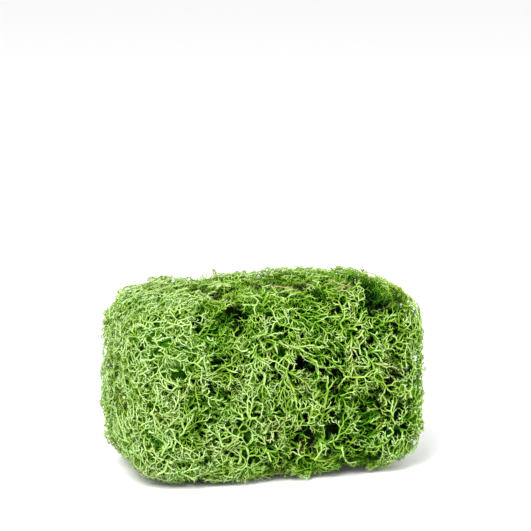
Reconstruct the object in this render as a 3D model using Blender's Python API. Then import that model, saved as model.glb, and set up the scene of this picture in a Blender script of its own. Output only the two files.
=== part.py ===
"""A clump of reindeer moss: green living heads round a tan mass of old stems.

Each head is a bunch of podetia, the forked hollow stems of the lichen. It has a small core, and every
podetium is drawn out of one face of the core: a stem, its arms and their pointed tips. The heads sit in
sockets of the old stems, which carry the clump, reach its flat resting spot and poke out between the heads.
Metres, +Z up, the clump's front towards -Y. The origin is the middle of the outline, on the resting plane.
"""

import math
import random

import bmesh
import bpy
from mathutils import Vector

SEED = 11
CLUMP = "reindeer_moss_clump"

# Name, centre, radius among the neighbours and reach out to the tips of each head
HEADS = (
    ("head_front_upper_left", (-0.0375, -0.0125, 0.0460), 0.0235, 0.0305),
    ("head_front_upper_middle", (-0.0035, -0.0125, 0.0485), 0.0235, 0.0300),
    ("head_front_upper_right", (0.0300, -0.0120, 0.0470), 0.0235, 0.0305),
    ("head_front_lower_left", (-0.0440, -0.0105, 0.0200), 0.0225, 0.0300),
    ("head_front_lower_middle_left", (-0.0150, -0.0135, 0.0195), 0.0220, 0.0280),
    ("head_front_lower_middle_right", (0.0160, -0.0130, 0.0195), 0.0220, 0.0280),
    ("head_front_lower_right", (0.0435, -0.0100, 0.0205), 0.0230, 0.0300),
    ("head_right_end", (0.0520, -0.0070, 0.0430), 0.0185, 0.0240),
    ("head_top_left", (-0.0400, 0.0100, 0.0555), 0.0205, 0.0240),
    ("head_top_middle_left", (-0.0110, 0.0110, 0.0605), 0.0185, 0.0210),
    ("head_top_middle_right", (0.0235, 0.0110, 0.0590), 0.0210, 0.0230),
    ("head_back_right_upper", (0.0470, 0.0120, 0.0475), 0.0200, 0.0250),
    ("head_back_left", (-0.0410, 0.0130, 0.0255), 0.0235, 0.0300),
    ("head_back_middle", (-0.0050, 0.0145, 0.0265), 0.0235, 0.0285),
    ("head_back_right", (0.0350, 0.0140, 0.0245), 0.0235, 0.0300),
)

# The pressed outline that the heads fill, an ellipsoid with nearly flat sides
OUTLINE_CENTRE, OUTLINE_HALF = Vector((0.0, 0.0, 0.0385)), Vector((0.0665, 0.0365, 0.0430))
OUTLINE_SQUARENESS = 4.5

# A podetium: its stem, arms and tips as shares of the depth from the core to the outside
CORE_SHARE = 0.42
LEAST_CORE = 0.0090
STEM_SHARE = 0.32
ARM_SHARE = 0.50
TIP_SHARE = 0.38
LEAST_DEPTH = 0.0060
DEPTH_STEP = 0.0005
STEM_RADIUS = 0.0011
ARM_RADIUS = 0.00075
STEM_AREA = 185e-6  # of a head's outer surface that each podetium covers
FORK_LIFT = 0.35  # how far the middle of a fork stands up, in ring radii
ARM_OPENING = 0.92  # how far arms lean out of their stem's line, against STEM_PULL along it
STEM_PULL = 0.75
ARM_SWAY = 0.22
TIP_OPENING = 0.8  # how far tips lean out of their arm's line
LENGTH_SPREAD = 0.17
OPENING_SPREAD = 0.2
LENGTHS_TRIED = (1.0, 0.8, 0.62)
CORE_POINTS_LEAST = 14
CORE_NUDGE = 0.25  # of the spacing between the core's points

# The old stems' mass: an upright slab on a broad foot, both ellipsoids with squarish sides
SLAB_CENTRE, SLAB_HALF = Vector((0.0, 0.0010, 0.0315)), Vector((0.0530, 0.0090, 0.0265))
FOOT_CENTRE, FOOT_HALF = Vector((0.0, 0.0, 0.0080)), Vector((0.0420, 0.0120, 0.0090))
SQUARENESS = 2.6
UNEVENNESS = 0.07  # how much of their size the dents of the two take off

# Root, lean and length of the old stems that poke out between the heads
POKING_STEMS = (
    ((-0.0260, 0.0010, 0.0540), (-0.25, -0.35, 1.0), 0.0210),
    ((0.0065, 0.0010, 0.0560), (-0.05, -0.10, 1.0), 0.0180),
    ((0.0400, -0.0040, 0.0490), (-0.05, -0.55, 1.0), 0.0195),
    ((0.0440, 0.0040, 0.0315), (0.90, -0.75, 0.1), 0.0190),
)
OLD_STEM_RADIUS = 0.0012
OLD_STEM_STEPS = 3
OLD_STEM_WANDER = 0.22
OLD_STEM_TAPER = 0.9
OLD_ARM_RADIUS = 0.00075
OLD_ARM_OPENING = 0.9
OLD_ARM_LENGTH = 0.0040
OLD_TIP_LENGTH = 0.0024
FORK_SPREAD = 0.72  # of the arms' length, sideways
STUBS = 12
STUB_LENGTH = 0.0085
STUB_LEVELS = (0.0045, 0.0095)
STUB_ROOTS = (0.88, 0.80)  # as shares of the foot's half sizes
STUB_RISE = 0.1
STUB_SPREAD = 0.3  # of the spacing between two stubs

GAP = 0.0004
FLOOR_CLEARANCE = 0.0012
STEM_CLEARANCE = 0.0008


def clear_scene():
    for obj in list(bpy.data.objects):
        bpy.data.objects.remove(obj, do_unlink=True)


def material(name, colour, roughness):
    made = bpy.data.materials.new(name)
    made.use_nodes = True
    shader = made.node_tree.nodes["Principled BSDF"]
    shader.inputs["Base Color"].default_value = (*colour, 1.0)
    shader.inputs["Roughness"].default_value = roughness
    shader.inputs["Metallic"].default_value = 0.0
    return made


def new_object(name, bm, finish, collection):
    bmesh.ops.recalc_face_normals(bm, faces=bm.faces[:])
    mesh = bpy.data.meshes.new(name)
    bm.to_mesh(mesh)
    bm.free()
    mesh.materials.append(finish)
    obj = bpy.data.objects.new(name, mesh)
    collection.objects.link(obj)
    return obj


def squarish(point, centre, half, squareness=SQUARENESS):
    """Under 1 inside an ellipsoid with squarish sides, and over 1 outside it."""
    return sum(abs((p - c) / h) ** squareness for p, c, h in zip(point, centre, half))


def in_old_stems(point, clearance):
    grown = Vector((clearance, clearance, clearance))
    return min(
        squarish(point, SLAB_CENTRE, SLAB_HALF + grown),
        squarish(point, FOOT_CENTRE, FOOT_HALF + grown),
    ) < 1


def above_floor(point):
    return point.z > FLOOR_CLEARANCE


def near_path(point, path, reach):
    """Whether a point lies within reach of a line through the path's points."""
    for start, end in zip(path, path[1:]):
        along = end - start
        share = max(0.0, min(1.0, (point - start).dot(along) / along.length_squared))
        if (point - start - along * share).length < reach:
            return True
    return False


def varied(rng, spread):
    """A factor round 1."""
    return rng.uniform(1 - spread, 1 + spread)


def sway_by(rng, most):
    return Vector([rng.uniform(-most, most) for _ in range(3)])


def ball_directions(count, rng):
    """Directions spread evenly over a ball, each nudged a little, so that no rows show."""
    golden = math.pi * (3 - math.sqrt(5))
    nudge = CORE_NUDGE * math.sqrt(4 * math.pi / count)
    for k in range(count):
        z = 1 - (2 * k + 1) / count
        across = math.sqrt(1 - z * z)
        even = Vector((math.cos(golden * k) * across, math.sin(golden * k) * across, z))
        yield (even + sway_by(rng, nudge)).normalized()


class Head:
    """One head's place and the room it has among its neighbours."""

    def __init__(self, name, centre, radius, reach):
        self.name, self.centre, self.radius, self.reach = name, Vector(centre), radius, reach
        self.walls = []
        self.core_radius = max(CORE_SHARE * reach, LEAST_CORE)

    def meet(self, others):
        """Shares the space with each neighbour along a plane, with a gap between them."""
        for other in others:
            if other is self:
                continue
            away = other.centre - self.centre
            far = away.length
            wall = (far**2 + self.radius**2 - other.radius**2) / (2 * far) - GAP / 2
            self.walls.append((away.normalized(), wall))
            self.core_radius = min(self.core_radius, wall)

    def holds(self, point):
        offset = point - self.centre
        return (
            above_floor(point)
            and all(offset.dot(n) < wall for n, wall in self.walls)
            and squarish(point, OUTLINE_CENTRE, OUTLINE_HALF, OUTLINE_SQUARENESS) < 1
        )


class Sector:
    """The wedge of a head over one face of its core, which one podetium fills."""

    def __init__(self, head, face, stems):
        self.head, self.stems = head, stems
        corners = [v.co - head.centre for v in face.verts]
        self.out = sum(corners, Vector()).normalized()
        self.sides = []
        for a, b in zip(corners, corners[1:] + corners[:1]):
            side = a.cross(b).normalized()
            self.sides.append(side if side.dot(self.out) > 0 else -side)

    def holds(self, point):
        offset = point - self.head.centre
        return (
            all(offset.dot(side) > GAP / 2 for side in self.sides)
            and self.head.holds(point)
            and not in_old_stems(point, GAP)
            and not any(near_path(point, path, reach) for path, reach in self.stems)
        )

    def depth(self):
        """How far there is room above the middle of the face."""
        steps = int((self.head.reach - self.head.core_radius) / DEPTH_STEP)
        for k in range(1, steps + 1):
            if not self.holds(self.head.centre + self.out * (self.head.core_radius + k * DEPTH_STEP)):
                return (k - 1) * DEPTH_STEP
        return steps * DEPTH_STEP


def ring_on(face, centre, along, radius):
    """Places for a three-cornered face's vertices: an even ring square to the line it grows along."""
    first, second, last = (v.co.copy() for v in face.verts)
    across = first - second
    across = (across - along * across.dot(along)).normalized()
    up = (first + second) / 2 - last
    other = along.cross(across)
    other = other if other.dot(up) > 0 else -other
    wide, high = radius * math.cos(math.pi / 6), radius / 2
    return (
        centre + across * wide + other * high,
        centre - across * wide + other * high,
        centre - other * radius,
    )


def draw_out(bm, face, along, length, radius, room):
    """Extrudes a face along a line to a ring. Gives the new end, or None where there is no room."""
    start = face.calc_center_median()
    for share in LENGTHS_TRIED:
        places = ring_on(face, start + along * length * share, along, radius)
        middles = [(place + start) / 2 for place in places]
        if all(room(place) for place in (*places, *middles)):
            end = bmesh.ops.extrude_discrete_faces(bm, faces=[face])["faces"][0]
            for vertex, place in zip(end.verts, places):
                vertex.co = place
            return end
    return None


def fork(bm, end, radius):
    """Splits a stem's end into three faces round a raised middle, and gives them."""
    return bmesh.ops.poke(bm, faces=[end], offset=radius * FORK_LIFT)["faces"]


def point_tips(bm, end, along, length, radius, room, rng):
    """Ends an arm in three pointed tips, or in fewer where there is no room."""
    for face in fork(bm, end, radius):
        face.normal_update()
        lean = (along + face.normal * TIP_OPENING * varied(rng, OPENING_SPREAD)).normalized()
        start = face.calc_center_median()
        for share in LENGTHS_TRIED:
            tip = start + lean * length * share * varied(rng, LENGTH_SPREAD)
            if room(tip) and room((tip + start) / 2):
                apex = bmesh.ops.poke(bm, faces=[face])["verts"][0]
                apex.co = tip
                break


def grow_podetium(bm, face, head, stems, rng):
    sector = Sector(head, face, stems)
    corners = [v.co.copy() for v in face.verts]
    if any(in_old_stems(corner, GAP) for corner in corners):
        return
    depth = sector.depth()
    if depth < LEAST_DEPTH:
        return
    top = head.centre + sector.out * (head.core_radius + depth * STEM_SHARE)
    stem = bmesh.ops.extrude_discrete_faces(bm, faces=[face])["faces"][0]
    foot = sum(corners, Vector()) / 3
    for vertex, corner in zip(stem.verts, corners):
        vertex.co = top + (corner - foot).normalized() * STEM_RADIUS
    for arm_face in fork(bm, stem, STEM_RADIUS):
        arm_face.normal_update()
        lean = arm_face.normal * ARM_OPENING * varied(rng, OPENING_SPREAD)
        along = (sector.out * STEM_PULL + lean + sway_by(rng, ARM_SWAY)).normalized()
        length = depth * ARM_SHARE * varied(rng, LENGTH_SPREAD)
        arm = draw_out(bm, arm_face, along, length, ARM_RADIUS, sector.holds)
        if arm is not None:
            point_tips(bm, arm, along, depth * TIP_SHARE, ARM_RADIUS, sector.holds, rng)


def build_head(head, stems, finish, collection, rng):
    bm = bmesh.new()
    faces = 4 * math.pi * head.reach**2 / STEM_AREA
    count = max(CORE_POINTS_LEAST, round(faces / 2) + 2)
    points = [
        bm.verts.new(head.centre + way * head.core_radius) for way in ball_directions(count, rng)
    ]
    bmesh.ops.convex_hull(bm, input=points)
    bmesh.ops.recalc_face_normals(bm, faces=bm.faces[:])
    for face in bm.faces[:]:
        grow_podetium(bm, face, head, stems, rng)
    return new_object(head.name, bm, finish, collection)


def bent_path(root, lean, length, rng):
    """Points of an old stem that leans a new way at each step."""
    path, along = [Vector(root)], Vector(lean).normalized()
    for _ in range(OLD_STEM_STEPS):
        path.append(path[-1] + along * length / OLD_STEM_STEPS)
        along = (along + sway_by(rng, OLD_STEM_WANDER)).normalized()
    return path


def kept_clear(poking, stubs):
    """What the heads grow round: each old stem's line and its fork's ball, with their reach."""
    beside = OLD_STEM_RADIUS + STEM_CLEARANCE
    around = (OLD_ARM_LENGTH * 1.2 + OLD_TIP_LENGTH) * FORK_SPREAD + STEM_CLEARANCE
    rows = [(path, beside) for path in poking + stubs]
    for path in poking:
        along = (path[-1] - path[-2]).normalized()
        rows.append(([path[-1], path[-1] + along * OLD_ARM_LENGTH], around))
    return rows


def old_stem_paths(heads, rng):
    """The stems that poke out of the mass, and the stubs round its foot that meet no head's core."""
    poking = [bent_path(root, lean, length, rng) for root, lean, length in POKING_STEMS]
    stubs = []
    for k in range(STUBS):
        turn = 2 * math.pi * (k + rng.uniform(-STUB_SPREAD, STUB_SPREAD)) / STUBS
        way = Vector((math.cos(turn), math.sin(turn), rng.uniform(-STUB_RISE, STUB_RISE)))
        x, y = FOOT_HALF.x * STUB_ROOTS[0] * way.x, FOOT_HALF.y * STUB_ROOTS[1] * way.y
        root = Vector((x, y, rng.uniform(*STUB_LEVELS)))
        path = bent_path(root, way, STUB_LENGTH * varied(rng, LENGTH_SPREAD), rng)
        reach = OLD_STEM_RADIUS + 2 * GAP
        clear = all((p - head.centre).length > head.core_radius + reach for head in heads for p in path)
        if clear and min(p.z for p in path) > 2 * OLD_STEM_RADIUS:
            stubs.append(path)
    return poking, stubs


def old_stem(path, forked, finish, collection, rng):
    """An old stem along its path, which ends in a fork of worn arms or in a broken end."""
    bm = bmesh.new()
    along = (path[1] - path[0]).normalized()
    turned = along.to_track_quat("Z", "Y").to_matrix().to_4x4()
    turned.translation = path[0]
    bmesh.ops.create_cone(
        bm,
        cap_ends=True,
        segments=3,
        radius1=OLD_STEM_RADIUS,
        radius2=OLD_STEM_RADIUS,
        depth=OLD_STEM_RADIUS,
        matrix=turned,
    )
    end = max(bm.faces, key=lambda f: (f.calc_center_median() - path[0]).dot(along))
    for start, stop in zip(path, path[1:]):
        step = stop - start
        radius = OLD_STEM_RADIUS * OLD_STEM_TAPER
        made = draw_out(bm, end, step.normalized(), step.length, radius, above_floor)
        end = made or end
    if forked:
        along = (path[-1] - path[-2]).normalized()
        for face in fork(bm, end, OLD_STEM_RADIUS):
            face.normal_update()
            lean = (along + face.normal * OLD_ARM_OPENING).normalized()
            length = OLD_ARM_LENGTH * varied(rng, LENGTH_SPREAD)
            arm = draw_out(bm, face, lean, length, OLD_ARM_RADIUS, above_floor)
            if arm is not None:
                point_tips(bm, arm, lean, OLD_TIP_LENGTH, OLD_ARM_RADIUS, above_floor, rng)
    return new_object("old_stem_piece", bm, finish, collection)


def dented_solid(name, centre, half, finish, collection, rng):
    """An ellipsoid with squarish sides, dented inwards all over."""
    bm = bmesh.new()
    bmesh.ops.create_icosphere(bm, subdivisions=3, radius=1.0)
    for vertex in bm.verts:
        size = sum(abs(part) ** SQUARENESS for part in vertex.co) ** (1 / SQUARENESS)
        size /= 1 - UNEVENNESS * rng.random()
        vertex.co = centre + Vector([part / size * h for part, h in zip(vertex.co, half)])
    return new_object(name, bm, finish, collection)


def socket(head, finish, collection):
    """The ball of space that a head's core sits in."""
    bm = bmesh.new()
    bmesh.ops.create_icosphere(bm, subdivisions=2, radius=1.0)
    inner = min(face.calc_center_median().length for face in bm.faces)
    size = (head.core_radius + GAP) / inner
    for vertex in bm.verts:
        vertex.co = head.centre + vertex.co * size
    cutter = new_object("socket_" + head.name, bm, finish, collection)
    cutter.hide_render = True
    cutter.display_type = "WIRE"
    return cutter


def apply_boolean(obj, operation, collection):
    modifier = obj.modifiers.new(operation.title(), "BOOLEAN")
    modifier.operation = operation
    modifier.operand_type = "COLLECTION"
    modifier.collection = collection
    graph = bpy.context.evaluated_depsgraph_get()
    mesh = bpy.data.meshes.new_from_object(obj.evaluated_get(graph))
    obj.modifiers.clear()
    obj.data = mesh
    for used in list(collection.objects):
        bpy.data.objects.remove(used, do_unlink=True)


def keep_largest_body(bm):
    """Drops the scraps that the sockets cut loose."""
    bodies, left = [], set(bm.faces)
    while left:
        body, edge_of = set(), [left.pop()]
        while edge_of:
            face = edge_of.pop()
            body.add(face)
            for edge in face.edges:
                for other in edge.link_faces:
                    if other in left:
                        left.remove(other)
                        edge_of.append(other)
        bodies.append(body)
    largest = max(bodies, key=lambda body: sum(face.calc_area() for face in body))
    scraps = [face for body in bodies if body is not largest for face in body]
    bmesh.ops.delete(bm, geom=scraps, context="FACES")


def build_old_stems(heads, poking, stubs, finish, clump, helpers, rng):
    mass = dented_solid("old_stems", SLAB_CENTRE, SLAB_HALF, finish, clump, rng)
    dented_solid("foot", FOOT_CENTRE, FOOT_HALF, finish, helpers, rng)
    apply_boolean(mass, "UNION", helpers)
    for head in heads:
        socket(head, finish, helpers)
    apply_boolean(mass, "DIFFERENCE", helpers)
    for path in poking:
        old_stem(path, True, finish, helpers, rng)
    for path in stubs:
        old_stem(path, False, finish, helpers, rng)
    apply_boolean(mass, "UNION", helpers)
    bm = bmesh.new()
    bm.from_mesh(mass.data)
    cut = bmesh.ops.bisect_plane(
        bm,
        geom=bm.verts[:] + bm.edges[:] + bm.faces[:],
        plane_co=(0, 0, 0),
        plane_no=(0, 0, -1),
        clear_outer=True,
    )
    rim = [item for item in cut["geom_cut"] if isinstance(item, bmesh.types.BMEdge)]
    bmesh.ops.holes_fill(bm, edges=rim)
    keep_largest_body(bm)
    bm.to_mesh(mass.data)
    bm.free()
    return mass


def centre_on_origin(objects):
    """Moves the clump sideways until the middle of its outline is over the origin."""
    points = [vertex.co for obj in objects for vertex in obj.data.vertices]
    middle = [(min(p[k] for p in points) + max(p[k] for p in points)) / 2 for k in range(2)]
    for obj in objects:
        for vertex in obj.data.vertices:
            vertex.co -= Vector((*middle, 0.0))


def main():
    clear_scene()
    rng = random.Random(SEED)
    clump = bpy.data.collections.new(CLUMP)
    helpers = bpy.data.collections.new("cutters_and_joined_pieces")
    bpy.context.scene.collection.children.link(clump)
    bpy.context.scene.collection.children.link(helpers)
    green = material("moss_green", (0.22, 0.46, 0.07), 0.85)
    tan = material("old_stem_tan", (0.32, 0.25, 0.12), 0.9)
    heads = [Head(*row) for row in HEADS]
    for head in heads:
        head.meet(heads)
    poking, stubs = old_stem_paths(heads, rng)
    clear = kept_clear(poking, stubs)
    made = [build_head(head, clear, green, clump, rng) for head in heads]
    made.append(build_old_stems(heads, poking, stubs, tan, clump, helpers, rng))
    centre_on_origin(made)


main()
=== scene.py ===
import math
import random

import bmesh
import bpy
import numpy as np
from bpy.props import FloatProperty, FloatVectorProperty, IntProperty, PointerProperty
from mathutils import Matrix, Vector


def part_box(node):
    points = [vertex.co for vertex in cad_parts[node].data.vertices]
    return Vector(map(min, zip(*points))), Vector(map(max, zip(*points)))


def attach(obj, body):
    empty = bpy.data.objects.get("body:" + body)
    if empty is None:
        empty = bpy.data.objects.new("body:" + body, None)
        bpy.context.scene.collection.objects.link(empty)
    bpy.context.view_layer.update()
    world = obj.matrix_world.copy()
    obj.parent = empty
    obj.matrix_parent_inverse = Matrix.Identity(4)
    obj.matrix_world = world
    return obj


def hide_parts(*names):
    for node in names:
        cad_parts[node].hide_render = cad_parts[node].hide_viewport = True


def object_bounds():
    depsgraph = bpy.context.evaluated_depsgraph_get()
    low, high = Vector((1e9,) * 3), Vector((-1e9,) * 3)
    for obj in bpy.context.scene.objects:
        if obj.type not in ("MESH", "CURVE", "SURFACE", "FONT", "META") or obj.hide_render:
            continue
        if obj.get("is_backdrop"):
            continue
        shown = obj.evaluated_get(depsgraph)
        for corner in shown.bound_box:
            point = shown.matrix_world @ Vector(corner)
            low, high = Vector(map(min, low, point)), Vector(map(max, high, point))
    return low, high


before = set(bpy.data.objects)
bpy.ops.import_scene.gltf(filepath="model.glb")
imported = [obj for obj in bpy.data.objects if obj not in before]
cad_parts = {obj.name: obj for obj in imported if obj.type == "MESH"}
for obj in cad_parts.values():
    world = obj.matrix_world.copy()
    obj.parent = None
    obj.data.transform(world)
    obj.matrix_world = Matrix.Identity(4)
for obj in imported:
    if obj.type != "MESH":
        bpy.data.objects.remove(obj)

bl_info = {
    "name": "Reindeer moss clump",
    "version": (1, 0, 0),
    "blender": (4, 5, 0),
    "location": "View3D > Sidebar > Moss",
    "description": "Grows the forked heads and the old stems of a clump, and sets the studio round it",
    "category": "Add Mesh",
}

OLD_NODE = "old_stems"
TOP_FIRST = "head_top"  # these heads grow before the others, which then run over their edges
HEAD_NODES = sorted(
    (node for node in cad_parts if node.startswith("head_")),
    key=lambda node: (not node.startswith(TOP_FIRST), node),
)
BOX_LOW, BOX_HIGH = (np.array(corner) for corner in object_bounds())
TINY_LENGTH, TINY_SHARE = 1e-12, 1e-9  # the least that anything is divided by
GOLDEN_TURN = math.pi * (3 - math.sqrt(5))  # from root to root round a core, which spreads them evenly
LEAST_CORE_POINTS = 30
HEAD_SEED, OLD_SEED, POKING_SEED = 100, 7, 11

# The pressed outline: an ellipsoid with nearly flat sides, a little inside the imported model's box
OUTLINE_SQUARENESS = 4.5
OUTLINE_MARGIN = 0.00025
OUTLINE_BASE = -0.0045  # below the floor, so that the clump is broad where it rests
HOLLOW_DEPTH, HOLLOW_LENGTH = 0.0034, 0.0125  # of the shallow hollows in the outline
HOLLOW_SKEW = 3.0  # how much each wave of hollows is set off by the next axis
# Painted shade: the green's colour darkens with depth inside the outline, to its darkest at the depth below
PAINTED_SHADE_DEPTH = 0.011  # how far inside the outline the green has turned to its darkest
ANY_DEPTH = 1.0  # more than the clump has

# How arms find room
WIDE_CELL, FINE_CELL = 0.0023, 0.00105  # of the grids that record where something has grown
LENGTHS_TRIED = (1.0, 0.7, 0.45)  # shares of an arm's length, until one finds room
MIDDLE_SHARE = 0.55  # how far along an arm its middle is, which has to find room too
TIP_CLEARANCE = 0.0001  # from the outline to a tip's point
STRONG = 0.55  # the least vigour of an arm that keeps well apart from its like
STURDY = 0.72  # the least vigour of an arm that bends

# The forms of arms, forks and ends
RING_WIDE, RING_HIGH = math.cos(math.pi / 6), 0.5  # two corners of an even triangle of radius 1
BENT = 0.14  # how far an arm's middle stands off its line, of its length
ARM_TAPER = 0.9
FULLEST = 1.1  # the most vigour that still thickens an arm
THINNING = 1.3  # how fast arms thin with their vigour
FORK_LIFT, TIP_LIFT = 0.5, 0.3  # how far the middle of a fork stands up, in radii and in thicknesses
BARE_END_LENGTH = 2.2  # how far an end that bears no arm is drawn out to a point, in radii

# Youth is a mesh attribute, from 0 in a core to 1 at the tips: the less vigour, the more youth
WEAKEST_YOUTH, YOUTH_BY_VIGOUR, LEAST_YOUTH = 1.05, 0.8, 0.05
SPUR_YOUTH, CROWN_YOUTH, TIP_YOUTH = 0.9, 0.95, 1.0

# How uneven the growth is: spreads, and the least and the greatest of factors
CORE_SCATTER = 0.35
ROOT_SCATTER = 0.25
ROOT_VIGOURS = (0.8, 1.1)
FORK_VIGOURS = (0.9, 1.1)
OPENINGS = (0.7, 1.25)
ARM_LENGTHS = (0.75, 1.3)
SPUR_LENGTHS = (0.35, 0.9)
TIP_LENGTHS = (0.6, 1.25)
TIP_ANGLE_SPREAD = 10.0  # in degrees

# How each head has grown: the vigour of its podetia, how far they run over the neighbours, their lean
HABITS = {
    "head_front_upper_left": (0.94, 0.0150, (0.10, 0.0, 0.08)),
    "head_front_upper_middle": (1.10, 0.0140, (0.25, 0.0, -0.22)),
    "head_front_upper_right": (1.05, 0.0100, (0.12, 0.0, -0.12)),
    "head_front_lower_left": (1.00, 0.0110, (-0.10, 0.0, 0.10)),
    "head_front_lower_middle_left": (1.05, 0.0090, (-0.15, 0.0, 0.10)),
    "head_front_lower_middle_right": (1.05, 0.0090, (0.15, 0.0, 0.10)),
    "head_front_lower_right": (1.00, 0.0090, (0.10, 0.0, 0.15)),
    "head_right_end": (1.00, 0.0150, (0.0, 0.0, 0.25)),
    "head_top_left": (0.82, 0.0070, (0.0, 0.0, 0.1)),
    "head_top_middle_left": (0.76, 0.0045, (0.0, 0.0, 0.1)),
    "head_top_middle_right": (0.80, 0.0045, (0.0, 0.0, 0.1)),
    "head_back_right_upper": (0.95, 0.0130, (0.1, 0.0, 0.1)),
    "head_back_left": (1.00, 0.0130, (0.0, 0.0, 0.2)),
    "head_back_middle": (1.00, 0.0155, (0.0, 0.0, 0.2)),
    "head_back_right": (1.00, 0.0120, (0.0, 0.0, 0.2)),
}

# Gaps between the heads that stay dark: the two ends of each and its radius
GAPS = (
    ((0.0054, -0.0070, 0.0785), (0.0054, 0.0060, 0.0790), 0.0050),
    ((0.0375, -0.0300, 0.0715), (0.0410, -0.0130, 0.0760), 0.0038),
    ((0.0030, -0.0290, 0.0490), (0.0080, -0.0290, 0.0495), 0.0032),
    ((-0.0340, -0.0300, 0.0635), (-0.0310, -0.0300, 0.0640), 0.0022),
)

# Where the green podetia have dried to olive and tan, near their roots: centre and reach
DRY_SPOTS = (
    ((0.0370, -0.0220, 0.0430), 0.0065),
    ((-0.0330, -0.0120, 0.0700), 0.0060),
    ((0.0480, -0.0180, 0.0640), 0.0060),
)

# The old stems' mass: an upright slab, a broad foot and the pad that it rests on, as centre and half sizes
OLD_MASSES = (
    ((0.0, 0.0010, 0.0355), (0.0560, 0.0100, 0.0320)),
    ((0.0, 0.0, 0.0135), (0.0440, 0.0130, 0.0095)),
    ((0.0, 0.0, 0.0046), (0.0130, 0.0095, 0.0062)),
)
OLD_RUN = 0.0145  # how far the old stems run beyond their solid's hull
FLAT_SPOT_HEIGHT = 0.0006  # the pad is cut level at the floor up to here
PLAIN_TINTS = 0.9  # tints of the old stems end here, and poking stems have more

# Old stems that poke out between the heads: root, lean and length
POKING_STEMS = (
    ((-0.0260, 0.0010, 0.0540), (-0.25, -0.62, 1.0), 0.0262),
    ((0.0065, 0.0010, 0.0560), (-0.10, -0.35, 1.0), 0.0215),
    ((0.0400, -0.0040, 0.0490), (-0.23, -0.28, 1.0), 0.0290),
    ((0.0440, 0.0040, 0.0315), (0.90, -0.75, 0.1), 0.0190),
)
POKING_STEPS = 3
POKING_WANDER = 0.22  # how far they turn at each step
POKING_TAPER = 0.1  # of their thickness, at each step
POKING_YOUTH, POKING_YOUTH_STEP = 0.5, 0.12
POKING_VIGOUR = 0.64
POKING_CLEARANCE = 0.0037  # kept free of green round and beyond the outer third of each
POKING_MARKS = 8  # points of each step that count as taken

# Painted shade: how far the green is darkened towards the near-black colour of its core, more with its
# depth in the clump (partly the darker inner growth), less at the young tips, where painted light makes it
# paler
PAINTED_SHADE_BY_DEPTH, PAINTED_LIGHT_BY_YOUTH, PAINTED_SHADE_EVERYWHERE = 1.15, 0.12, 0.05
# Painted shadow: the cores and the oldest stems next to them take the near-black core colour; this sets how
# fast it fades with youth
CORE_SHADOW_FADE = 6.0  # how fast the colour of a core fades with youth
# Painted shade: the green is darker towards the right and lighter towards the left, as if shaded on the
# right
PAINTED_SHADE_BY_X, PAINTED_SHADE_LEAST, PAINTED_SHADE_MOST = 8.0, 0.62, 1.20  # the green is darker towards the right
MIDDLE_AT, PAINTED_SHADE_AT, OLIVE_AT, DEEP_PAINTED_SHADE_AT = 0.22, 0.50, 0.40, 0.88  # places of colours on the ramps

# Where the green is yellower, and where it is dry
WARM_BY_PATCH, WARM_BY_X, WARM_BY_TINT, WARM_FROM = 1.6, 1.6, 0.55, 0.575
DRY_TINT, DRY_BY_TINT, DRY_BY_PATCH, DRY_FROM, DRY_MOST = 0.93, 9.0, 0.4, 0.2, 0.7

# How far the old stems have paled from brown to tan, darkened with depth by painted shade, and where they
# are olive
PALE_BY_YOUTH, OLD_PAINTED_SHADE_BY_DEPTH, PALE_BY_POKING = 0.85, 0.50, 6.0
OLIVE_BY_PATCH, OLIVE_FROM = 2.4, 0.8
OLD_MIDDLE_AT = 0.45

# Patterns: noise scales, per metre, and their detail
GREEN_PATCHES, OLD_PATCHES = 75.0, 160.0
MOTTLE_SCALE, MOTTLE_DETAIL, MOTTLING = 1300.0, 3.0, 0.3
USUAL_DETAIL = 2.0
ROUGHNESS_LEAST, ROUGHNESS_SPREAD = 0.7, 0.2

# The studio, in metres, and the photograph's width in pixels
FLOOR_HALF_WIDTH, FLOOR_ROUGHNESS = 3.0, 0.9
KEY_PLACE, KEY_SIZE = (-0.52, -0.70, 0.82), 0.55
FILL_PLACE, FILL_SIZE = (0.75, -0.45, 0.40), 0.60
LIGHTS_AIM = (0.0, 0.0, 0.04)
WHITE = (1.0, 1.0, 1.0, 1.0)
IMAGE_WIDTH = 531.0
SENSOR_WIDTH = 36.0  # in millimetres
FARTHEST_SEEN = 20.0


def unit(rows):
    return rows / np.maximum(np.linalg.norm(rows, axis=-1, keepdims=True), TINY_LENGTH)


class Grid:
    """Records in which cells of the clump's box something has grown."""

    def __init__(self, cell):
        self.cell = cell
        self.taken = np.zeros(np.ceil((BOX_HIGH - BOX_LOW) / cell).astype(int) + 1, bool)

    def rows(self, points):
        rows = ((points - BOX_LOW) / self.cell).astype(int)
        return np.clip(rows, 0, np.array(self.taken.shape) - 1).T

    def free(self, points):
        return ~self.taken[tuple(self.rows(points))]

    def first_comers(self, points):
        """True for the first of the points in each cell."""
        keys = np.ravel_multi_index(self.rows(points), self.taken.shape)
        first = np.zeros(len(points), bool)
        first[np.unique(keys, return_index=True)[1]] = True
        return first

    def take(self, points):
        self.taken[tuple(self.rows(points))] = True


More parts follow.
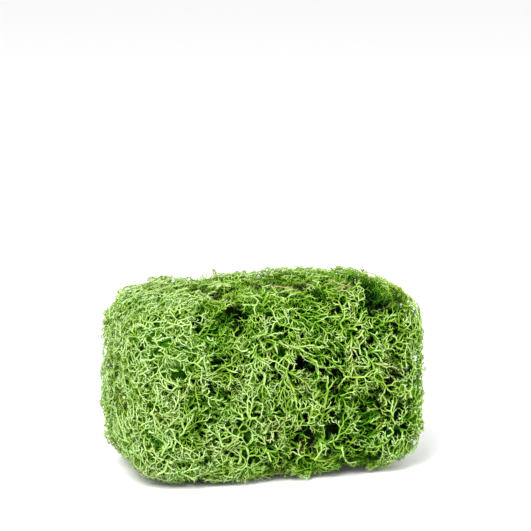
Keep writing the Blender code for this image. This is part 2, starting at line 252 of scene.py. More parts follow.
class Space:
    """Where stems may grow: inside the clump's outline, and where nothing has grown yet."""

    def __init__(self):
        low, high = BOX_LOW + OUTLINE_MARGIN, BOX_HIGH - OUTLINE_MARGIN
        low[2] = OUTLINE_BASE
        self.centre, self.half = (low + high) / 2, (high - low) / 2
        self.wide, self.fine = Grid(WIDE_CELL), Grid(FINE_CELL)

    def hollow(self, points):
        """How deep the outline is dented near the points, from 0 to 1."""
        scaled = points / HOLLOW_LENGTH
        waves = np.sin(scaled[:, [0, 1, 2]] * math.tau + scaled[:, [1, 2, 0]] * HOLLOW_SKEW)
        return 0.5 + waves.sum(axis=1) / 6

    def room(self, points):
        """How far points lie inside the outline, and the way out from there."""
        power = OUTLINE_SQUARENESS
        offsets = points - self.centre
        shares = np.abs(offsets / self.half)
        level = np.maximum((shares**power).sum(axis=1), TINY_SHARE) ** (1 / power)
        slope = np.sign(offsets) * shares ** (power - 1) / self.half
        out = unit(slope)
        inside = (1 - level) / np.maximum(np.linalg.norm(slope, axis=1), TINY_SHARE)
        inside *= np.maximum(level, TINY_SHARE) ** (power - 1)
        inside -= HOLLOW_DEPTH * self.hollow(points)
        floor_room = points[:, 2] - OUTLINE_MARGIN
        lower = floor_room < inside
        inside[lower] = floor_room[lower]
        out[lower] = (0.0, 0.0, -1.0)
        return inside, out


SPACE = Space()


class Cell:
    """The part of the clump that a tangle fills: its solid's hull, a little enlarged, without the gaps."""

    def __init__(self, node, spare, gaps):
        self.gaps = [(np.array(start), np.array(end), radius) for start, end, radius in gaps]
        bm = bmesh.new()
        bm.from_mesh(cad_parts[node].data)
        hull = bmesh.ops.convex_hull(bm, input=bm.verts)
        faces = [item for item in hull["geom"] if isinstance(item, bmesh.types.BMFace)]
        middle = sum((face.calc_center_median() for face in faces), Vector()) / len(faces)
        rows = []
        for face in faces:
            face.normal_update()
            spot = face.calc_center_median()
            way = face.normal if face.normal.dot(spot - middle) > 0 else -face.normal
            rows.append((*way, way.dot(spot) + spare))
        bm.free()
        self.planes = np.array(rows)

    def holds(self, points):
        held = (points @ self.planes[:, :3].T < self.planes[:, 3]).all(axis=1)
        for start, end, radius in self.gaps:
            line = end - start
            along = np.clip((points - start) @ line / (line @ line), 0, 1)
            held &= np.linalg.norm(points - start - along[:, None] * line, axis=1) > radius
        return held


class Shoots:
    """Ends that may grow on: their faces, and as rows the ways they point, their tints and vigour."""

    def __init__(self, faces, ways, tints, vigour):
        self.faces, self.ways, self.tints, self.vigour = faces, ways, tints, vigour
        self.used = np.zeros(len(faces), bool)

    def kept(self, chosen):
        faces = [face for face, keep in zip(self.faces, chosen) if keep]
        return Shoots(faces, self.ways[chosen], self.tints[chosen], self.vigour[chosen])


class Tangle:
    """A closed mesh that grows out of its own three-cornered faces, many of them at a time."""

    def __init__(self, space, cell, rng):
        self.space, self.cell, self.rng = space, cell, rng
        self.bm = bmesh.new()
        self.number = self.bm.faces.layers.int.new("number")
        self.youth = self.bm.verts.layers.float.new("youth")
        self.tint = self.bm.verts.layers.float.new("tint")

    def core(self, centre, half, spacing, depth):
        """An uneven ball with a face for each root, sized to half along X, Y and Z and kept deep inside."""
        area = 4 * math.pi * half.prod() ** (2 / 3)
        count = max(LEAST_CORE_POINTS, round(area / spacing**2 / 2) + 2)  # a hull has two faces a point
        spots = []
        for k in range(count):
            z = 1 - (2 * k + 1) / count
            across = math.sqrt(1 - z * z)
            spots.append((math.cos(GOLDEN_TURN * k) * across, math.sin(GOLDEN_TURN * k) * across, z))
        scatter = self.rng.normal(0, CORE_SCATTER / math.sqrt(count), (count, 3))
        points = centre + unit(np.array(spots) + scatter) * half
        room, out = self.space.room(points)
        points = points - out * np.clip(depth - room, 0, None)[:, None]
        verts = [self.bm.verts.new(point) for point in points]
        hull = bmesh.ops.convex_hull(self.bm, input=verts)
        unused = [item for item in hull["geom_interior"] if isinstance(item, bmesh.types.BMVert)]
        bmesh.ops.delete(self.bm, geom=unused, context="VERTS")
        faces = [item for item in hull["geom"] if isinstance(item, bmesh.types.BMFace)]
        bmesh.ops.recalc_face_normals(self.bm, faces=faces)
        self.bm.normal_update()
        return faces

    def corners(self, faces):
        return np.array([[vertex.co[:] for vertex in face.verts] for face in faces])

    def count_off(self, faces):
        for k, face in enumerate(faces):
            face[self.number] = k

    def mark(self, vertex, youth, tint):
        vertex[self.youth] = youth
        vertex[self.tint] = tint

    def draw_out(self, faces, rings, youths, tints):
        """Extrudes the faces one by one, each to its ring, and gives the new ends in the same order."""
        self.count_off(faces)
        made = bmesh.ops.extrude_discrete_faces(self.bm, faces=faces)["faces"]
        ends = sorted(made, key=lambda face: face[self.number])
        for end, ring, youth, tint in zip(ends, rings, youths, tints):
            for vertex, place in zip(end.verts, ring):
                vertex.co = place
                self.mark(vertex, youth, tint)
        return ends

    def split(self, faces, tops, youths, tints):
        """Splits each face in three round its top. Gives the three of each in turn, and the peaks."""
        self.count_off(faces)
        made = bmesh.ops.poke(self.bm, faces=faces)
        peaks = sorted(made["verts"], key=lambda vertex: vertex.link_faces[0][self.number])
        for vertex, top, youth, tint in zip(peaks, tops, youths, tints):
            vertex.co = top
            self.mark(vertex, youth, tint)
        return sorted(made["faces"], key=lambda face: face[self.number]), peaks

    def rings(self, corners, centres, along, radius):
        """Even rings round the centres, square to the lines, whose corners match those of the faces."""
        across = corners[:, 0] - corners[:, 1]
        across = unit(across - along * (across * along).sum(axis=1, keepdims=True))
        other = np.cross(along, across)
        up = (corners[:, 0] + corners[:, 1]) / 2 - corners[:, 2]
        other = np.where((other * up).sum(axis=1, keepdims=True) > 0, other, -other)
        reach = np.broadcast_to(np.asarray(radius, float), (len(corners),))[:, None]
        wide, high = across * reach * RING_WIDE, other * reach * RING_HIGH
        return np.stack((centres + wide + high, centres - wide + high, centres - other * reach), axis=1)

    def turned(self, ways, starts, bend_depth):
        """Turns the lines along the outline where they come near it."""
        room, out = self.space.room(starts)
        outward = (ways * out).sum(axis=1)
        near = np.clip(1 - room / bend_depth, 0, 1) * np.clip(outward, 0, None)
        return unit(ways - out * near[:, None])

    def fits(self, points, clearance, deepest=ANY_DEPTH):
        room, _ = self.space.room(points)
        return (room > clearance) & (room < deepest) & self.cell.holds(points)

    def free(self, ends, middles, strong):
        space = self.space
        apart = space.wide.free(ends) & space.fine.free(middles)
        return np.where(strong, apart, space.fine.free(ends))

    def reach_for(self, starts, ways, lengths, clearance, deepest, strong):
        """The longest share of each length that still ends in free space, or 0."""
        share = np.zeros(len(starts))
        for tried in LENGTHS_TRIED:
            left = share == 0
            ends = starts + ways * (lengths * tried)[:, None]
            middles = starts + ways * (lengths * tried * MIDDLE_SHARE)[:, None]
            good = self.fits(ends, clearance, deepest) & self.free(ends, middles, strong)
            share[left & good] = tried
        return share

    def arms(self, shoots, lengths, radii, youths, clearance, deepest):
        """Grows an arm from each shoot that has room, bent where it is sturdy. Gives the new shoots."""
        space = self.space
        corners = self.corners(shoots.faces)
        starts = corners.mean(axis=1)
        strong = shoots.vigour >= STRONG
        share = self.reach_for(starts, shoots.ways, lengths, clearance, deepest, strong)
        ends = starts + shoots.ways * (lengths * share)[:, None]
        first = np.where(strong, space.wide.first_comers(ends), space.fine.first_comers(ends))
        grown = (share > 0) & first
        shoots.used = grown
        kept = shoots.kept(grown)
        if not kept.faces:
            return kept
        corners, starts, ends = corners[grown], starts[grown], ends[grown]
        radii, youths, bent = radii[grown], youths[grown], kept.vigour >= STURDY
        spans = np.linalg.norm(ends - starts, axis=1, keepdims=True)
        sideways = np.cross(kept.ways, unit(self.rng.normal(size=kept.ways.shape)))
        stops = np.where(bent[:, None], (starts + ends) / 2 + sideways * spans * BENT, ends)
        rings = self.rings(corners, stops, unit(stops - starts), np.where(bent, 1.0, ARM_TAPER) * radii)
        kept.faces = self.draw_out(kept.faces, rings, youths, kept.tints)
        if bent.any():
            halfway = kept.kept(bent)
            halfway.ways = unit(ends - stops)[bent]
            corners = self.corners(halfway.faces)
            rings = self.rings(corners, ends[bent], halfway.ways, radii[bent] * ARM_TAPER)
            finished = iter(self.draw_out(halfway.faces, rings, youths[bent], halfway.tints))
            kept.faces = [next(finished) if is_bent else face for face, is_bent in zip(kept.faces, bent)]
            kept.ways[bent] = halfway.ways
        space.wide.take(ends[strong[grown]])
        space.fine.take(ends)
        space.fine.take((starts + ends) / 2)
        return kept

    def tips(self, faces, ways, lengths, youths, tints):
        """Draws the middle of each face that has room out to a point."""
        if not faces:
            return
        points = self.corners(faces).mean(axis=1) + ways * lengths[:, None]
        good = self.fits(points, TIP_CLEARANCE)
        chosen = [face for face, keep in zip(faces, good) if keep]
        if chosen:
            self.split(chosen, points[good], youths[good], tints[good])

    def sharpen(self, peaks, ways, lengths):
        """Draws the peaks of bare ends that have room out to points."""
        if not peaks:
            return
        points = np.array([peak.co[:] for peak in peaks]) + ways * lengths[:, None]
        for peak, point, good in zip(peaks, points, self.fits(points, TIP_CLEARANCE)):
            if good:
                peak.co = point

    def fork(self, shoots, lifts, youths):
        """Splits the ends in three. Gives the new shoots, the way each leans aside, and the peaks."""
        middles = self.corners(shoots.faces).mean(axis=1)
        tops = middles + shoots.ways * lifts[:, None]
        faces, peaks = self.split(shoots.faces, tops, youths, shoots.tints)
        parent = np.repeat(np.arange(len(shoots.faces)), 3)
        forked = Shoots(faces, shoots.ways[parent], shoots.tints[parent], shoots.vigour[parent])
        aside = self.corners(faces).mean(axis=1) - middles[parent]
        aside = unit(aside - forked.ways * (aside * forked.ways).sum(axis=1, keepdims=True))
        return forked, aside, peaks

    def made(self, name, finish):
        """Gives the finished piece, whose attribute depth goes from 0 at the outline to 1 inside."""
        for face in self.bm.faces:
            face.smooth = True
        bmesh.ops.triangulate(self.bm, faces=self.bm.faces[:])
        self.bm.faces.layers.int.remove(self.bm.faces.layers.int["number"])
        depth = self.bm.verts.layers.float.new("depth")
        room, _ = self.space.room(np.array([vertex.co[:] for vertex in self.bm.verts]))
        for vertex, share in zip(self.bm.verts, np.clip(room / PAINTED_SHADE_DEPTH, 0, 1)):
            vertex[depth] = share
        mesh = bpy.data.meshes.new(name)
        self.bm.to_mesh(mesh)
        self.bm.free()
        mesh.materials.append(finish)
        obj = bpy.data.objects.new(name, mesh)
        bpy.context.scene.collection.objects.link(obj)
        return obj


def degrees(angle):
    """An angle property in degrees, free of its rounding."""
    return round(math.degrees(angle), 3)


def aimed(tangle, forked, aside, openings, sizes, lean):
    """Turns the forked shoots aside by their openings, towards the head's lean, and along the outline."""
    sway = tangle.rng.normal(0, sizes.sway, aside.shape)
    ways = unit(forked.ways + aside * np.tan(np.radians(openings))[:, None] + sway + lean)
    return tangle.turned(ways, tangle.corners(forked.faces).mean(axis=1), sizes.bend_depth)


def radii_of(shoots, sizes):
    fullest, finest = sizes.stem_thickness / 2, sizes.tip_thickness / 2
    return finest + (fullest - finest) * np.clip(shoots.vigour, 0, FULLEST) ** THINNING


def youths_of(shoots):
    return np.clip(WEAKEST_YOUTH - shoots.vigour * YOUTH_BY_VIGOUR, LEAST_YOUTH, 1)


def arms_of(tangle, shoots, sizes, deepest):
    lengths = sizes.stem_length * shoots.vigour * tangle.rng.uniform(*ARM_LENGTHS, len(shoots.faces))
    radii, youths = radii_of(shoots, sizes), youths_of(shoots)
    return tangle.arms(shoots, lengths, radii, youths, sizes.surface_gap, deepest)


def grow_podetia(tangle, faces, tints, sizes, vigour, lean):
    """Grows a stem out of each face, and forks upon forks from there."""
    rng = tangle.rng
    ways = np.array([face.normal[:] for face in faces])
    ways = unit(ways + rng.normal(0, ROOT_SCATTER, (len(faces), 3)))
    shoots = Shoots(faces, ways, tints, vigour * rng.uniform(*ROOT_VIGOURS, len(faces)))
    fork_on(tangle, arms_of(tangle, shoots, sizes, ANY_DEPTH), sizes, lean)


def fork_on(tangle, shoots, sizes, lean):
    """At each fork one arm leads on, and thinner ones turn off it, until they end in their tips."""
    rng = tangle.rng
    leader_angle, fork_angle = degrees(sizes.leader_angle), degrees(sizes.fork_angle)
    for fork_number in range(sizes.forks):
        done = shoots.vigour < sizes.least_vigour
        grow_tips(tangle, shoots.kept(done), sizes)
        shoots = shoots.kept(~done)
        if not shoots.faces:
            return
        ways, radii = shoots.ways, radii_of(shoots, sizes)
        forked, aside, peaks = tangle.fork(shoots, radii * FORK_LIFT, youths_of(shoots))
        count = len(forked.faces)
        order = rng.random((count // 3, 3)).argsort(axis=1).argsort(axis=1).ravel()
        leads = order == 0
        keeps = np.where(leads, sizes.leader_vigour, sizes.side_vigour)
        forked.vigour = forked.vigour * keeps * rng.uniform(*FORK_VIGOURS, count)
        openings = np.where(leads, leader_angle, fork_angle) * rng.uniform(*OPENINGS, count)
        forked.ways = aimed(tangle, forked, aside, openings, sizes, lean * leads[:, None])
        tried = leads | (order == 1) | (rng.random(count) < sizes.third_arm_chance)
        rest = forked.kept(~tried)
        forked = forked.kept(tried)
        shoots = arms_of(tangle, forked, sizes, sizes.growing_depth if fork_number else ANY_DEPTH)
        grown = np.zeros(count, bool)
        grown[tried] = forked.used
        bare = ~grown.reshape(-1, 3).any(axis=1)
        bare_peaks = [peak for peak, is_bare in zip(peaks, bare) if is_bare]
        tangle.sharpen(bare_peaks, ways[bare], radii[bare] * BARE_END_LENGTH)
        grow_spurs(tangle, forked.kept(~forked.used), sizes)
        grow_spurs(tangle, rest, sizes)
    grow_tips(tangle, shoots, sizes)


def grow_spurs(tangle, shoots, sizes):
    """Ends some of the faces that bear no arm in a short point."""
    chosen = shoots.kept(tangle.rng.random(len(shoots.faces)) < sizes.spur_chance)
    count = len(chosen.faces)
    lengths = sizes.tip_length * tangle.rng.uniform(*SPUR_LENGTHS, count)
    tangle.tips(chosen.faces, chosen.ways, lengths, np.full(count, SPUR_YOUTH), chosen.tints)


def grow_tips(tangle, shoots, sizes):
    """Ends the shoots in crowns of three pointed tips."""
    if not shoots.faces:
        return
    rng = tangle.rng
    ones = np.ones(len(shoots.faces))
    forked, aside, _ = tangle.fork(shoots, ones * sizes.tip_thickness * TIP_LIFT, ones * CROWN_YOUTH)
    count = len(forked.faces)
    openings = rng.normal(degrees(sizes.tip_angle), TIP_ANGLE_SPREAD, count)
    ways = unit(forked.ways + aside * np.tan(np.radians(openings))[:, None])
    lengths = sizes.tip_length * rng.uniform(*TIP_LENGTHS, count)
    tangle.tips(forked.faces, ways, lengths, np.full(count, TIP_YOUTH), forked.tints)


def poking_paths():
    """The points of the poking stems, each leaning a new way at every step."""
    rng = random.Random(POKING_SEED)
    for root, lean, length in POKING_STEMS:
        path = [Vector(root)]
        along = Vector(lean).normalized()
        for _ in range(POKING_STEPS):
            path.append(path[-1] + along * length / POKING_STEPS)
            sway = Vector([rng.uniform(-POKING_WANDER, POKING_WANDER) for _ in range(3)])
            along = (along + sway).normalized()
        yield np.array([point[:] for point in path])


def grow_poking_stem(tangle, faces, path, sizes):
    """Draws the face next to the path's root out along it, and gives its end as a shoot."""
    middles = tangle.corners(faces).mean(axis=1)
    near = np.linalg.norm(middles - path[1], axis=1).argmin()
    end = [faces.pop(near)]
    tint = np.ones(1)
    for k, (start, stop) in enumerate(zip(path, path[1:])):
        along = unit((stop - start)[None])
        thickness = sizes.stem_thickness * (1 - POKING_TAPER * k)
        rings = tangle.rings(tangle.corners(end), stop[None], along, thickness / 2)
        end = tangle.draw_out(end, rings, [POKING_YOUTH + POKING_YOUTH_STEP * k], tint)
        tangle.space.fine.take(np.linspace(start, stop, POKING_MARKS))
    return Shoots(end, along, tint, np.full(1, POKING_VIGOUR))


class Value:
    """A shader socket that takes part in Python expressions."""

    def __init__(self, tree, socket):
        self.tree, self.socket = tree, socket

    def _with(self, operation, first, second):
        node = self.tree.nodes.new("ShaderNodeMath")
        node.operation = operation
        for socket, value in zip(node.inputs, (first, second)):
            if isinstance(value, Value):
                self.tree.links.new(value.socket, socket)
            else:
                socket.default_value = value
        return Value(self.tree, node.outputs[0])

    def __add__(self, other):
        return self._with("ADD", self, other)

    def __radd__(self, other):
        return self._with("ADD", other, self)

    def __sub__(self, other):
        return self._with("SUBTRACT", self, other)

    def __rsub__(self, other):
        return self._with("SUBTRACT", other, self)

    def __mul__(self, other):
        return self._with("MULTIPLY", self, other)

    def __rmul__(self, other):
        return self._with("MULTIPLY", other, self)

    def at_least(self, other):
        return self._with("MAXIMUM", self, other)

    def at_most(self, other):
        return self._with("MINIMUM", self, other)

    def between(self, low, high):
        return self.at_least(low).at_most(high)


class Finish:
    """A material being built: a Principled BSDF and the nodes that feed it."""

    def __init__(self, name):
        self.material = bpy.data.materials.new(name)
        self.material.use_nodes = True
        self.tree = self.material.node_tree
        self.shader = self.tree.nodes["Principled BSDF"]

    def node(self, kind, settings=None, **sockets):
        """Adds a node, sets its settings first, then gives its sockets values or links."""
        node = self.tree.nodes.new(kind)
        for name, value in (settings or {}).items():
            setattr(node, name, value)
        for name, value in sockets.items():
            self.feed(node.inputs[name.replace("_", " ")], value)
        return node

    def feed(self, socket, value):
        if isinstance(value, Value):
            self.tree.links.new(value.socket, socket)
        else:
            socket.default_value = value

    def value(self, node, output=0):
        return Value(self.tree, node.outputs[output])

    def attribute(self, name):
        return self.value(self.node("ShaderNodeAttribute", {"attribute_name": name}), "Fac")

    def place(self):
        return self.value(self.node("ShaderNodeTexCoord"), "Object")

    def noise(self, scale, detail=USUAL_DETAIL):
        node = self.node("ShaderNodeTexNoise", Vector=self.place(), Scale=scale, Detail=detail)
        return self.value(node, "Fac")

    def mottle(self):
        return self.noise(MOTTLE_SCALE, MOTTLE_DETAIL) - 0.5

    def mix(self, share, first, second):
        """Mixes two colours, whose sockets go by number, because their names stand for other types too."""
        node = self.node("ShaderNodeMix", {"data_type": "RGBA"})
        for socket, value in ((0, share), (6, first), (7, second)):
            self.feed(node.inputs[socket], value)
        return self.value(node, 2)

    def ramp(self, share, stops):
        node = self.node("ShaderNodeValToRGB", Fac=share)
        while len(node.color_ramp.elements) < len(stops):
            node.color_ramp.elements.new(0.5)
        for element, (position, colour) in zip(node.color_ramp.elements, stops):
            element.position = position
            element.color = (*colour, 1.0)
        return self.value(node)

    def surface(self, roughness_scale, gloss, bump_scale, bump_detail, bump_height):
        """Sets how rough, glossy and bumpy the stems are."""
        roughness = self.noise(roughness_scale) * ROUGHNESS_SPREAD + ROUGHNESS_LEAST
        self.feed(self.shader.inputs["Roughness"], roughness)
        self.shader.inputs["Specular IOR Level"].default_value = gloss
        height = self.noise(bump_scale, bump_detail)
        node = self.node("ShaderNodeBump", Height=height, Distance=bump_height)
        self.feed(self.shader.inputs["Normal"], self.value(node))


def moss_finish(colours):
    """Green that darkens away from the outline by painted shade, partly its darker inner growth, is darker
    towards the right by painted shade, near-black at the cores by painted shadow, and palest at the
    youngest tips by painted light.
    """
    finish = Finish("green_podetia")
    youth, tint, depth = (finish.attribute(name) for name in ("youth", "tint", "depth"))
    patches = finish.noise(GREEN_PATCHES)
    right = finish.value(finish.node("ShaderNodeSeparateXYZ", Vector=finish.place()), "X")
    painted_side_shade = (right * PAINTED_SHADE_BY_X + 1.0).between(PAINTED_SHADE_LEAST, PAINTED_SHADE_MOST)
    # Painted shade: the green darkens with depth and towards the right and is near-black at the cores;
    # painted light makes the young tips paler
    painted_shade_and_mottle = depth * PAINTED_SHADE_BY_DEPTH - youth * PAINTED_LIGHT_BY_YOUTH + finish.mottle() * MOTTLING + PAINTED_SHADE_EVERYWHERE
    painted_shade_and_mottle = (painted_shade_and_mottle * painted_side_shade).at_least(1.0 - youth * CORE_SHADOW_FADE)
    # The darkest colours of the painted shade, deep in the clump and at the cores
    painted_shadow_stops = ((DEEP_PAINTED_SHADE_AT, colours.deep_painted_shade), (1.0, colours.core))
    fresh = finish.ramp(painted_shade_and_mottle, (
        (0.0, colours.tips), (MIDDLE_AT, colours.middle), (PAINTED_SHADE_AT, colours.painted_shade), *painted_shadow_stops
    ))
    warm = finish.ramp(painted_shade_and_mottle, (
        (0.0, colours.warm_tips), (MIDDLE_AT, colours.warm_middle), (PAINTED_SHADE_AT, colours.warm_painted_shade), *painted_shadow_stops
    ))
    warmth = patches * WARM_BY_PATCH + right * WARM_BY_X + tint * WARM_BY_TINT - WARM_FROM
    green = finish.mix(warmth.between(0.0, 1.0), fresh, warm)
    dry = finish.ramp(painted_shade_and_mottle, ((0.0, colours.dry_tips), (OLIVE_AT, colours.olive), *painted_shadow_stops))
    dryness = (tint - DRY_TINT) * DRY_BY_TINT + patches * DRY_BY_PATCH - DRY_FROM
    finish.feed(finish.shader.inputs["Base Color"], finish.mix(dryness.between(0.0, DRY_MOST), green, dry))
    finish.surface(
        roughness_scale=900.0, gloss=0.08, bump_scale=2600.0, bump_detail=3.0, bump_height=0.00012
    )
    return finish.material


def old_finish(colours):
    """Dark brown inside, olive and tan towards the ends of the stems, darkened with depth by painted shade.
    """
    finish = Finish("dry_old_stems")
    youth, tint, depth = (finish.attribute(name) for name in ("youth", "tint", "depth"))
    patches = finish.noise(OLD_PATCHES)
    poking = (tint - PLAIN_TINTS).at_least(0.0)
    # Painted shade: the old stems darken with their depth in the clump
    pale_less_painted_shade = youth * PALE_BY_YOUTH - depth * OLD_PAINTED_SHADE_BY_DEPTH + finish.mottle() * MOTTLING
    pale_less_painted_shade = (pale_less_painted_shade + poking * PALE_BY_POKING).between(0.0, 1.0)
    brown, olive = (
        finish.ramp(pale_less_painted_shade, ((0.0, colours.old_core), (OLD_MIDDLE_AT, middle), (1.0, end)))
        for middle, end in ((colours.old_brown, colours.old_tan), (colours.olive, colours.dry_tips))
    )
    share = (patches * OLIVE_BY_PATCH - OLIVE_FROM - poking * PALE_BY_POKING).between(0.0, 1.0)
    finish.feed(finish.shader.inputs["Base Color"], finish.mix(share, brown, olive))
    finish.surface(
        roughness_scale=700.0, gloss=0.15, bump_scale=2200.0, bump_detail=4.0, bump_height=0.0002
    )
    return finish.material


def length_property(name, default, description):
    return FloatProperty(name=name, default=default, description=description, unit="LENGTH", precision=5)


def angle_property(name, default_in_degrees, description):
    default = math.radians(default_in_degrees)
    return FloatProperty(name=name, default=default, description=description, subtype="ANGLE")


def share_property(name, default, description):
    return FloatProperty(name=name, default=default, description=description, subtype="FACTOR")


def pixel_property(name, default, description):
    return FloatProperty(name=name, default=default, description=description, subtype="PIXEL")


def power_property(name, default, description):
    return FloatProperty(name=name, default=default, description=description, unit="POWER")


def colour_property(name, default, description):
    return FloatVectorProperty(name=name, default=default, description=description, subtype="COLOR")


class GrowthSizes:
    """What the living and the dead stems have alike, with the living ones' defaults."""

    stem_length: length_property("Stem length", 0.0035, "Of an arm of full vigour")
    stem_thickness: length_property("Stem thickness", 0.00130, "Across an arm of full vigour")
    tip_thickness: length_property("Tip thickness", 0.00042, "Across the finest arms")
    tip_length: length_property("Tip length", 0.0014, "Of the pointed end tips")
    bend_depth: length_property("Bending depth", 0.0070, "Inside the outline, where stems start to turn")
    surface_gap: length_property("Surface gap", 0.0010, "From the outline to the arms, for the tips")
    growing_depth: length_property("Growing depth", 0.0125, "Inside the outline, where stems still fork")
    core_depth: length_property("Core depth", 0.0088, "From the outline to a core, at least")
    core_share: share_property("Core share", 0.50, "Size of a core against its solid's box")
    root_spacing: length_property("Root spacing", 0.0034, "Between roots on the core")
    sway: share_property("Sway", 0.14, "How unevenly arms turn")
    leader_vigour: share_property("Leader's vigour", 0.90, "Kept by the arm that leads on from a fork")
    side_vigour: share_property("Side vigour", 0.66, "Kept by the arms that turn off")
    least_vigour: share_property("Least vigour", 0.26, "Below which an arm ends in its tips")
    third_arm_chance: share_property("Third arm chance", 0.45, "Share of forks with three arms")
    spur_chance: share_property("Spur chance", 0.5, "Share of bare faces that end in a spur")
    leader_angle: angle_property("Leader's angle", 17.0, "Of the arm that leads on")
    fork_angle: angle_property("Fork angle", 52.0, "Of the arms that turn off")
    tip_angle: angle_property("Tip angle", 42.0, "Between a tip and its arm's line")
    forks: IntProperty(name="Forks", default=11, description="How often a stem forks before its tips")


class MossSizes(GrowthSizes, bpy.types.PropertyGroup):
    """Sizes of the living podetia."""


class OldStemSizes(GrowthSizes, bpy.types.PropertyGroup):
    """Sizes of the dead stems."""

    stem_length: length_property("Stem length", 0.0062, "Of an arm of full vigour")
    stem_thickness: length_property("Stem thickness", 0.0019, "Across an arm of full vigour")
    tip_thickness: length_property("Tip thickness", 0.0006, "Across the finest arms")
    tip_length: length_property("Tip length", 0.0022, "Of the pointed end tips")
    surface_gap: length_property("Surface gap", 0.0045, "From the outline to the arms, for the tips")
    growing_depth: length_property("Growing depth", 0.0300, "Inside the outline, where stems still fork")
    core_share: share_property("Core share", 0.86, "Size of the mass against the packed solid's mass")
    root_spacing: length_property("Root spacing", 0.0048, "Between roots on the mass")
    side_vigour: share_property("Side vigour", 0.70, "Kept by the arms that turn off")
    least_vigour: share_property("Least vigour", 0.45, "Below which an arm ends in its tips")
    third_arm_chance: share_property("Third arm chance", 0.2, "Share of forks with three arms")
    forks: IntProperty(name="Forks", default=4, description="How often a stem forks before its tips")


class MossColours(bpy.types.PropertyGroup):
    """Colours of the living and the dead stems, with the painted shade of the clump's depths and cores."""

    tips: colour_property("Tips", (0.40, 0.59, 0.235), "Youngest growth")
    middle: colour_property("Middle", (0.215, 0.430, 0.042), "Middle of the podetia")
    # Painted shade: the green of the stems deeper in the clump, partly their own darker green
    painted_shade: colour_property("Shade", (0.050, 0.235, 0.003), "Towards the core")
    # Painted shade: the green next to the cores
    deep_painted_shade: colour_property("Deep", (0.006, 0.056, 0.0003), "Next to the core")
    # Painted shadow: the near-black of the cores, in the dark of the clump
    core: colour_property("Core", (0.001, 0.008, 0.0002), "Core, in the dark of the clump")
    warm_tips: colour_property("Warm tips", (0.46, 0.61, 0.235), "Youngest growth where it is yellower")
    warm_middle: colour_property("Warm middle", (0.27, 0.44, 0.042), "Middle where it is yellower")
    # Painted shade: the yellower green deeper in the clump
    warm_painted_shade: colour_property("Warm shade", (0.080, 0.215, 0.003), "Near the core where it is yellower")
    olive: colour_property("Olive", (0.12, 0.16, 0.030), "Dry stems")
    dry_tips: colour_property("Dry tips", (0.50, 0.54, 0.22), "Tips of dry stems")
    old_core: colour_property("Old core", (0.008, 0.016, 0.002), "Inside the old mass")
    old_brown: colour_property("Old brown", (0.062, 0.066, 0.012), "Older dead stems")
    old_tan: colour_property("Old tan", (0.36, 0.34, 0.12), "Ends of dead stems")


class StudioSettings(bpy.types.PropertyGroup):
    """The camera, the lights and the floor."""

    azimuth: angle_property("Azimuth", -17.4, "Camera's turn from the front")
    elevation: angle_property("Elevation", 12.9, "Camera's height angle")
    distance: length_property("Distance", 1.421, "From the camera to its target")
    target_height: length_property("Target height", 0.0415, "Of the point that the camera looks at")
    focal_length: pixel_property("Focal length", 3500.0, "In pixels of the photograph")
    target_x: pixel_property("Target X", 262.6, "Where the target lies in the photograph, from its left")
    target_y: pixel_property("Target Y", 367.3, "Where the target lies in the photograph, from its top")
    key_power: power_property("Key light", 19.0, "Power of the main light")
    fill_power: power_property("Fill light", 4.0, "Power of the fill light")
    world_strength: FloatProperty(name="World", default=1.0, description="Brightness of the surroundings")
    floor_colour: colour_property("Floor", (0.86, 0.86, 0.86), "Of the floor")


def dress(piece, node):
    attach(piece, "root")
    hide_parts(node)


class MOSS_OT_heads(bpy.types.Operator):
    """Grow the forked podetia of every green head"""

    bl_idname = "moss.grow_heads"
    bl_label = "Grow heads"

    def execute(self, context):
        sizes = context.scene.moss_sizes
        finish = moss_finish(context.scene.moss_colours)
        gaps = list(GAPS)
        for path in poking_paths():
            beyond = path[-1] + (path[-1] - path[-2]) / 2
            gaps.append((path[-2], beyond, POKING_CLEARANCE))
        for k, node in enumerate(HEAD_NODES):
            low, high = (np.array(corner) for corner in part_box(node))
            centre, half = (low + high) / 2, (high - low) / 2 * sizes.core_share
            rng = np.random.default_rng(HEAD_SEED + k)
            vigour, run, lean = HABITS[node]
            tangle = Tangle(SPACE, Cell(node, run, gaps), rng)
            roots = tangle.core(centre, half, sizes.root_spacing * vigour, sizes.core_depth)
            tints = rng.random(len(roots))
            middles = tangle.corners(roots).mean(axis=1)
            for spot, reach in DRY_SPOTS:
                tints[np.linalg.norm(middles - spot, axis=1) < reach] = 1.0
            grow_podetia(tangle, roots, tints, sizes, vigour, np.array(lean))
            piece = tangle.made(node.replace("head_", "podetia_"), finish)
            dress(piece, node)
        return {"FINISHED"}


class MOSS_OT_old_stems(bpy.types.Operator):
    """Grow the tangle of dead stems inside and under the heads"""

    bl_idname = "moss.grow_old_stems"
    bl_label = "Grow old stems"

    def execute(self, context):
        scene = context.scene
        sizes = scene.old_stem_sizes
        tangle = Tangle(SPACE, Cell(OLD_NODE, OLD_RUN, ()), np.random.default_rng(OLD_SEED))
        roots = []
        for centre, half in OLD_MASSES:
            mass = np.array(half) * sizes.core_share
            roots += tangle.core(np.array(centre), mass, sizes.root_spacing, 0.0)
        for vertex in tangle.bm.verts:
            if vertex.co.z < FLAT_SPOT_HEIGHT:
                vertex.co.z = 0.0
        shown = [face for face in roots if face.calc_center_median().z > FLAT_SPOT_HEIGHT]
        poking = [grow_poking_stem(tangle, shown, path, sizes) for path in poking_paths()]
        no_lean = np.zeros(3)
        for shoots in poking:
            fork_on(tangle, shoots, scene.moss_sizes, no_lean)
        tints = tangle.rng.random(len(shown)) * PLAIN_TINTS
        grow_podetia(tangle, shown, tints, sizes, 1.0, no_lean)
        piece = tangle.made("old_stem_tangle", old_finish(scene.moss_colours))
        dress(piece, OLD_NODE)
        return {"FINISHED"}


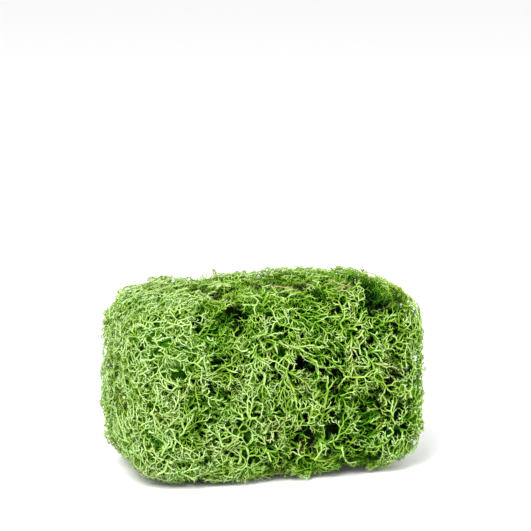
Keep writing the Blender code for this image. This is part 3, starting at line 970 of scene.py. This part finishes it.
class MOSS_OT_studio(bpy.types.Operator):
    """Set the floor, the soft lights and the camera"""

    bl_idname = "moss.set_studio"
    bl_label = "Set studio"

    def execute(self, context):
        scene = context.scene
        studio = scene.moss_studio
        self.floor(scene, studio)
        self.lights(scene, studio)
        self.camera(scene, studio)
        scene.view_settings.view_transform = "Standard"
        return {"FINISHED"}

    def floor(self, scene, studio):
        bm = bmesh.new()
        bmesh.ops.create_grid(bm, x_segments=1, y_segments=1, size=FLOOR_HALF_WIDTH)
        mesh = bpy.data.meshes.new("floor")
        bm.to_mesh(mesh)
        bm.free()
        finish = Finish("pale_floor")
        finish.shader.inputs["Base Color"].default_value = (*studio.floor_colour, 1.0)
        finish.shader.inputs["Roughness"].default_value = FLOOR_ROUGHNESS
        mesh.materials.append(finish.material)
        floor = bpy.data.objects.new("floor", mesh)
        scene.collection.objects.link(floor)
        floor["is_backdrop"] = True

    def lights(self, scene, studio):
        world = bpy.data.worlds.new("soft_surroundings")
        world.use_nodes = True
        background = world.node_tree.nodes["Background"]
        background.inputs["Color"].default_value = WHITE
        background.inputs["Strength"].default_value = studio.world_strength
        scene.world = world
        self.softbox(scene, "key", KEY_PLACE, KEY_SIZE, studio.key_power)
        self.softbox(scene, "fill", FILL_PLACE, FILL_SIZE, studio.fill_power)

    def softbox(self, scene, name, place, size, power):
        light = bpy.data.lights.new(name, "AREA")
        light.shape = "SQUARE"
        light.size = size
        light.energy = power
        obj = bpy.data.objects.new(name, light)
        obj.location = place
        obj.rotation_euler = (Vector(LIGHTS_AIM) - obj.location).to_track_quat("-Z", "Y").to_euler()
        scene.collection.objects.link(obj)

    def camera(self, scene, studio):
        turn, rise = studio.azimuth, studio.elevation
        level = math.cos(rise)
        back = Vector((math.sin(turn) * level, -math.cos(turn) * level, math.sin(rise)))
        data = bpy.data.cameras.new("camera")
        data.sensor_width = SENSOR_WIDTH
        data.lens = studio.focal_length / IMAGE_WIDTH * SENSOR_WIDTH
        data.clip_end = FARTHEST_SEEN
        data.shift_x = (IMAGE_WIDTH / 2 - studio.target_x) / IMAGE_WIDTH
        data.shift_y = (studio.target_y - IMAGE_WIDTH / 2) / IMAGE_WIDTH
        camera = bpy.data.objects.new("camera", data)
        camera.location = Vector((0, 0, studio.target_height)) + back * studio.distance
        camera.rotation_euler = (-back).to_track_quat("-Z", "Y").to_euler()
        scene.collection.objects.link(camera)
        scene.camera = camera


class MOSS_PT_panel(bpy.types.Panel):
    """Lists the clump's steps in the sidebar"""

    bl_idname = "MOSS_PT_panel"
    bl_label = "Reindeer moss clump"
    bl_space_type = "VIEW_3D"
    bl_region_type = "UI"
    bl_category = "Moss"

    def draw(self, context):
        for operator in OPERATORS:
            self.layout.operator(operator.bl_idname)
        for holder in GROUPS:
            box = self.layout.box()
            settings = getattr(context.scene, holder)
            for name in settings.bl_rna.properties.keys():
                if name not in ("rna_type", "name"):
                    box.prop(settings, name)


GROUPS = {
    "moss_sizes": MossSizes,
    "old_stem_sizes": OldStemSizes,
    "moss_colours": MossColours,
    "moss_studio": StudioSettings,
}
OPERATORS = (MOSS_OT_heads, MOSS_OT_old_stems, MOSS_OT_studio)
CLASSES = (*GROUPS.values(), *OPERATORS, MOSS_PT_panel)


def register():
    for cls in CLASSES:
        bpy.utils.register_class(cls)
    for name, group in GROUPS.items():
        setattr(bpy.types.Scene, name, PointerProperty(type=group))


def unregister():
    for name in GROUPS:
        delattr(bpy.types.Scene, name)
    for cls in reversed(CLASSES):
        bpy.utils.unregister_class(cls)


def main():
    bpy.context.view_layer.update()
    register()
    bpy.ops.moss.grow_heads()
    bpy.ops.moss.grow_old_stems()
    bpy.ops.moss.set_studio()


if __name__ == "__main__":
    main()
